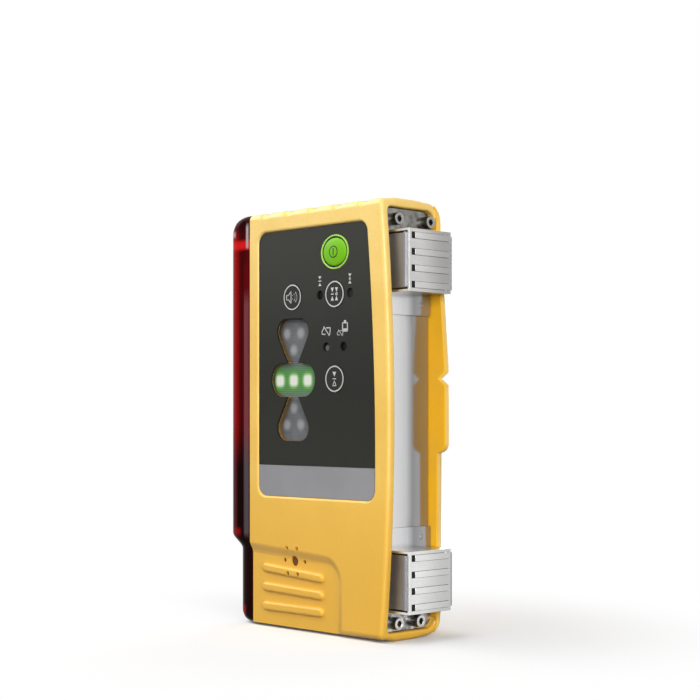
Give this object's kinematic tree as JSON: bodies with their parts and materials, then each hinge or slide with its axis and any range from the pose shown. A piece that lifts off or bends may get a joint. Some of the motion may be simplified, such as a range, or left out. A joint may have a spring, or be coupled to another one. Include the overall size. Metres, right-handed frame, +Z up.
{
  "type": "laser receiver",
  "caption": "Upright machine-mounted laser receiver: yellow housing, dark red wrap-round receiving window, key and display panel, and a side channel with magnet mounts.",
  "frame": {"origin": "middle of the base, under the centre of the part's box", "axes": "+X towards the magnets on the mounting side, +Y from the key panel to the rear, +Z up"},
  "size_m": [0.1192, 0.0378, 0.194],
  "materials": {
    "yellow_shell": "fine-grained moulded plastic",
    "black_rubber": "matt",
    "red_window": "clear dark red, glossy",
    "black_plastic": "matt",
    "board": "coated circuit board",
    "dark_panel": "matt film",
    "grey_strip": "matt film",
    "smoky_window": "smoky, finely ribbed",
    "lit_lamp": "lit green lamp",
    "unlit_lamp": "clear, unlit",
    "green_key": "satin silicone",
    "dark_key": "matt film with light outline",
    "steel": "bright turned",
    "brown_mesh": "woven",
    "cell_sleeve": "printed sleeve, left plain",
    "steel_plate": "bright sheet",
    "pole_steel": "ground",
    "magnet_block": "plated, satin"
  },
  "bodies": {
    "housing": {"front_shell": "yellow_shell", "rear_cover": "yellow_shell", "housing_gasket": "black_rubber", "housing_screws": "steel", "receiving_window": "red_window", "window_gasket": "black_rubber", "sensor_carrier": "black_plastic", "sensor_board": "board", "photodiodes": "black_plastic", "panel_plate": "dark_panel", "panel_strip": "grey_strip", "display_window": "smoky_window", "lamp_baffle": "black_plastic", "level_lamps": "lit_lamp", "high_lamps": "unlit_lamp", "low_lamps": "unlit_lamp", "power_ring": "green_key", "indicator_lenses": "black_plastic", "main_board": "board", "tact_switches": "steel", "board_screws": "steel", "buzzer": "black_plastic", "speaker_mesh": "brown_mesh", "battery_tray": "black_plastic", "battery_cells": "cell_sleeve", "battery_contacts": "steel", "hinge_pin": "steel", "mounting_plate": "steel_plate", "cap_screws": "steel", "bracket_rivets": "steel", "upper_bracket": "steel_plate", "upper_magnet": "magnet_block", "upper_pole_bars": "pole_steel", "upper_strap": "steel_plate", "upper_pads": "black_rubber", "lower_bracket": "steel_plate", "lower_magnet": "magnet_block", "lower_pole_bars": "pole_steel", "lower_strap": "steel_plate", "lower_pads": "black_rubber"},
    "power_button": {"power_button": "green_key"},
    "sound_key": {"sound_key": "dark_key"},
    "precision_key": {"precision_key": "dark_key"},
    "zero_key": {"zero_key": "dark_key"},
    "battery_cover": {"battery_cover": "yellow_shell", "cover_gasket": "black_rubber"},
    "cover_screw": {"cover_screw": "steel"}
  },
  "joints": [
    {"name": "power_press", "type": "slide", "parent": "housing", "child": "power_button", "axis": [0, 1, 0], "range_m": [0, 0.0008], "stiffness_N_per_m": 1500, "springref_m": -0.0006},
    {"name": "sound_press", "type": "slide", "parent": "housing", "child": "sound_key", "axis": [0, 1, 0], "range_m": [0, 0.0005], "stiffness_N_per_m": 1500, "springref_m": -0.0006},
    {"name": "precision_press", "type": "slide", "parent": "housing", "child": "precision_key", "axis": [0, 1, 0], "range_m": [0, 0.0005], "stiffness_N_per_m": 1500, "springref_m": -0.0006},
    {"name": "zero_press", "type": "slide", "parent": "housing", "child": "zero_key", "axis": [0, 1, 0], "range_m": [0, 0.0005], "stiffness_N_per_m": 1500, "springref_m": -0.0006},
    {"name": "battery_door", "type": "hinge", "parent": "housing", "child": "battery_cover", "pos_m": [0.00225, 0.017, 0.0159], "axis": [-1, 0, 0], "range_deg": [0, 95]},
    {"name": "cover_screw_turn", "type": "hinge", "parent": "battery_cover", "child": "cover_screw", "pos_m": [0.00225, 0.017, 0.0881], "axis": [0, 1, 0], "continuous": true}
  ]
}
